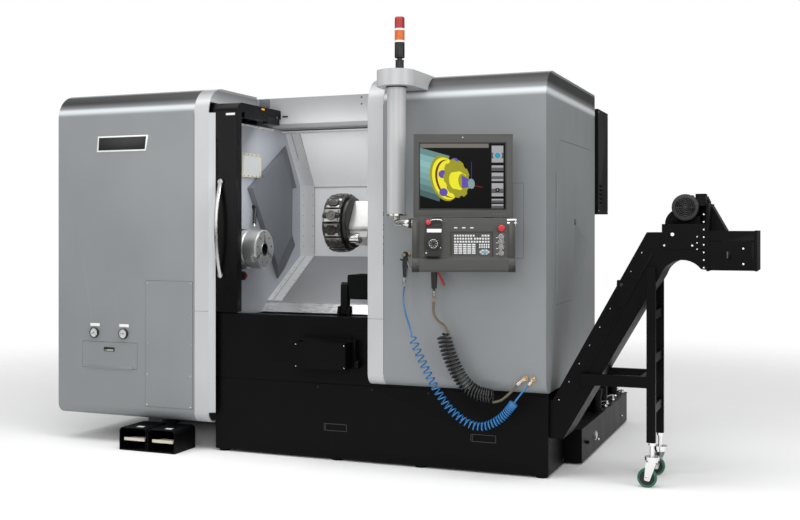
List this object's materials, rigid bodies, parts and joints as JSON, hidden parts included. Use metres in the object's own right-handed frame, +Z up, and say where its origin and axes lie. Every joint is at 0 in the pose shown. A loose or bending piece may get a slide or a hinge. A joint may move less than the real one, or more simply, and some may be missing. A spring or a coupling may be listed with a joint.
{
  "type": "cnc turning lathe",
  "caption": "Slant-bed CNC turning lathe with an open sliding door, chuck, tool turret, swivelling console, chip conveyor, coolant tank, hanging hoses and foot pedals.",
  "frame": {"origin": "centre of the bottom of the whole machine without its hoses, on the floor", "axes": "+Z up, +X to the right along the spindle towards the conveyor, +Y from the operator's side to the back"},
  "size_m": [3.725, 2.0404, 2.187],
  "materials": {
    "cover_grey": "satin",
    "pillar_silver": "satin",
    "machine_black": "satin",
    "casting_grey": "painted",
    "liner_steel": "brushed",
    "hood_grey": "satin",
    "signal_lamps": "gloss",
    "chrome": "polished",
    "chuck_steel": "ground",
    "turret_steel": "blackened",
    "window": "clear",
    "console_grey": "matte",
    "button_grey": "satin",
    "stop_red": "gloss",
    "hose_blue": "gloss",
    "hose_black": "satin",
    "hose_tan": "satin",
    "fitting_brass": "plated",
    "gun_black": "satin",
    "tread_green": "satin",
    "treadle_cream": "satin"
  },
  "bodies": {
    "machine": {"base_frame": "machine_black", "slant_bed": "casting_grey", "left_cabinet": "cover_grey", "left_pillar": "pillar_silver", "right_cabinet": "cover_grey", "right_pillar": "pillar_silver", "roof_header": "pillar_silver", "chamber_liner": "liner_steel", "headstock_hood": "hood_grey", "cooling_unit": "machine_black", "pendant_post": "pillar_silver", "stack_light": "signal_lamps", "parts_bin": "machine_black", "conveyor_trough": "machine_black", "conveyor_motor": "machine_black", "conveyor_legs": "machine_black", "coolant_tank": "machine_black", "pedal_housings": "machine_black", "hose_fittings": "fitting_brass", "air_gun": "gun_black", "coolant_gun": "gun_black", "air_hose_lead": "hose_blue", "air_hose_coil": "hose_blue", "air_hose_tail": "hose_blue", "coolant_hose_lead": "hose_tan", "coolant_hose_coil": "hose_black", "coolant_hose_tail": "hose_tan"},
    "door": {"door_frame": "machine_black", "door_window": "window", "door_handle": "chrome"},
    "spindle": {"chuck_body": "chuck_steel"},
    "jaw_1": {"chuck_jaw_1": "chuck_steel"},
    "jaw_2": {"chuck_jaw_2": "chuck_steel"},
    "jaw_3": {"chuck_jaw_3": "chuck_steel"},
    "carriage": {"saddle": "liner_steel"},
    "turret_slide": {"turret_housing": "pillar_silver"},
    "turret": {"turret_disc": "turret_steel"},
    "way_cover": {"way_cover": "liner_steel"},
    "catcher": {"catcher_arm": "machine_black"},
    "console_arm": {"console_arm": "chrome"},
    "console": {"console_monitor": "console_grey", "console_panel": "console_grey", "handset": "console_grey"},
    "console_stop": {"console_estop": "stop_red"},
    "button_1": {"push_button_1": "button_grey"},
    "button_2": {"push_button_2": "button_grey"},
    "button_3": {"push_button_3": "button_grey"},
    "button_4": {"push_button_4": "button_grey"},
    "handset_wheel": {"handset_wheel": "console_grey"},
    "handset_stop": {"handset_estop": "stop_red"},
    "air_trigger": {"air_gun_trigger": "gun_black"},
    "coolant_trigger": {"coolant_gun_trigger": "stop_red"},
    "treadle_left": {"treadle_left": "treadle_cream"},
    "treadle_right": {"treadle_right": "treadle_cream"},
    "side_door": {"side_door": "cover_grey"},
    "filter_door": {"filter_door": "cover_grey"},
    "caster_fork_1": {"caster_fork_1": "chrome"},
    "caster_fork_2": {"caster_fork_2": "chrome"},
    "caster_wheel_1": {"caster_wheel_1": "tread_green"},
    "caster_wheel_2": {"caster_wheel_2": "tread_green"}
  },
  "joints": [
    {"name": "door_slide", "type": "slide", "parent": "machine", "child": "door", "axis": [1, 0, 0], "range_m": [0, 0.75]},
    {"name": "spindle_spin", "type": "hinge", "parent": "machine", "child": "spindle", "pos_m": [-0.6765, -0.45278, 1.066], "axis": [1, 0, 0], "continuous": true},
    {"name": "jaw_1_slide", "type": "slide", "parent": "spindle", "child": "jaw_1", "axis": [0, 0, 1], "range_m": [-0.004, 0.004]},
    {"name": "jaw_2_slide", "type": "slide", "parent": "spindle", "child": "jaw_2", "axis": [0, -0.866, -0.5], "range_m": [-0.004, 0.004]},
    {"name": "jaw_3_slide", "type": "slide", "parent": "spindle", "child": "jaw_3", "axis": [0, 0.866, -0.5], "range_m": [-0.004, 0.004]},
    {"name": "carriage_slide", "type": "slide", "parent": "machine", "child": "carriage", "axis": [1, 0, 0], "range_m": [-0.28, 0.22]},
    {"name": "cross_slide", "type": "slide", "parent": "carriage", "child": "turret_slide", "axis": [0, 0.5, 0.866], "range_m": [-0.1, 0.08]},
    {"name": "turret_index", "type": "hinge", "parent": "turret_slide", "child": "turret", "pos_m": [-0.3075, -0.37078, 1.208], "axis": [1, 0, 0], "continuous": true},
    {"name": "way_cover_slide", "type": "slide", "parent": "machine", "child": "way_cover", "axis": [1, 0, 0], "range_m": [-0.14, 0.11]},
    {"name": "catcher_swing", "type": "hinge", "parent": "machine", "child": "catcher", "pos_m": [-0.1735, -0.55278, 0.762], "axis": [-1, 0, 0], "range_deg": [0, 40]},
    {"name": "console_swivel", "type": "hinge", "parent": "machine", "child": "console_arm", "pos_m": [0.2425, -0.83278, 1.237], "axis": [0, 0, 1], "range_deg": [-110, 2]},
    {"name": "console_tilt", "type": "hinge", "parent": "console_arm", "child": "console", "pos_m": [0.37846, -0.96289, 1.201], "axis": [0.9298, 0.3681, 0], "range_deg": [-6, 15]},
    {"name": "console_stop_press", "type": "slide", "parent": "console", "child": "console_stop", "axis": [-0.3681, 0.9298, 0], "range_m": [0, 0.005]},
    {"name": "button_1_press", "type": "slide", "parent": "console", "child": "button_1", "axis": [-0.3681, 0.9298, 0], "range_m": [0, 0.003], "stiffness_N_per_m": 400},
    {"name": "button_2_press", "type": "slide", "parent": "console", "child": "button_2", "axis": [-0.3681, 0.9298, 0], "range_m": [0, 0.003], "stiffness_N_per_m": 400},
    {"name": "button_3_press", "type": "slide", "parent": "console", "child": "button_3", "axis": [-0.3681, 0.9298, 0], "range_m": [0, 0.003], "stiffness_N_per_m": 400},
    {"name": "button_4_press", "type": "slide", "parent": "console", "child": "button_4", "axis": [-0.3681, 0.9298, 0], "range_m": [0, 0.003], "stiffness_N_per_m": 400},
    {"name": "handset_wheel_spin", "type": "hinge", "parent": "console", "child": "handset_wheel", "pos_m": [0.48697, -0.99521, 1.108], "axis": [-0.3681, 0.9298, 0], "continuous": true},
    {"name": "handset_stop_press", "type": "slide", "parent": "console", "child": "handset_stop", "axis": [-0.3681, 0.9298, 0], "range_m": [0, 0.004]},
    {"name": "air_trigger_pull", "type": "hinge", "parent": "machine", "child": "air_trigger", "pos_m": [0.2525, -0.72678, 1.022], "axis": [0, 1, 0], "range_deg": [0, 10], "stiffness_Nm_per_rad": 1.2},
    {"name": "coolant_trigger_pull", "type": "hinge", "parent": "machine", "child": "coolant_trigger", "pos_m": [0.4015, -0.72678, 0.994], "axis": [0, 1, 0], "range_deg": [0, 10], "stiffness_Nm_per_rad": 1.2},
    {"name": "treadle_left_press", "type": "hinge", "parent": "machine", "child": "treadle_left", "pos_m": [-1.2715, -0.65278, 0.034], "axis": [1, 0, 0], "range_deg": [0, 8], "stiffness_Nm_per_rad": 20, "springref_deg": -3.28},
    {"name": "treadle_right_press", "type": "hinge", "parent": "machine", "child": "treadle_right", "pos_m": [-1.0955, -0.65278, 0.034], "axis": [1, 0, 0], "range_deg": [0, 8], "stiffness_Nm_per_rad": 20, "springref_deg": -3.28},
    {"name": "side_door_swing", "type": "hinge", "parent": "machine", "child": "side_door", "pos_m": [0.9353, -0.48278, 1.15], "axis": [0, 0, -1], "range_deg": [0, 60]},
    {"name": "filter_door_swing", "type": "hinge", "parent": "machine", "child": "filter_door", "pos_m": [-1.517, -0.68558, 0.41], "axis": [1, 0, 0], "range_deg": [0, 95]},
    {"name": "caster_swivel_1", "type": "hinge", "parent": "machine", "child": "caster_fork_1", "pos_m": [1.4095, -0.62578, 0.204], "axis": [0, 0, 1], "continuous": true},
    {"name": "caster_roll_1", "type": "hinge", "parent": "caster_fork_1", "child": "caster_wheel_1", "pos_m": [1.3875, -0.62578, 0.044], "axis": [0, 1, 0], "continuous": true},
    {"name": "caster_swivel_2", "type": "hinge", "parent": "machine", "child": "caster_fork_2", "pos_m": [1.4095, -0.35978, 0.204], "axis": [0, 0, 1], "continuous": true},
    {"name": "caster_roll_2", "type": "hinge", "parent": "caster_fork_2", "child": "caster_wheel_2", "pos_m": [1.3875, -0.35978, 0.044], "axis": [0, 1, 0], "continuous": true}
  ],
  "couplings": [
    {"joint": "jaw_2_slide", "follows": "jaw_1_slide", "ratio": 1},
    {"joint": "jaw_3_slide", "follows": "jaw_1_slide", "ratio": 1},
    {"joint": "way_cover_slide", "follows": "carriage_slide", "ratio": 0.5}
  ]
}
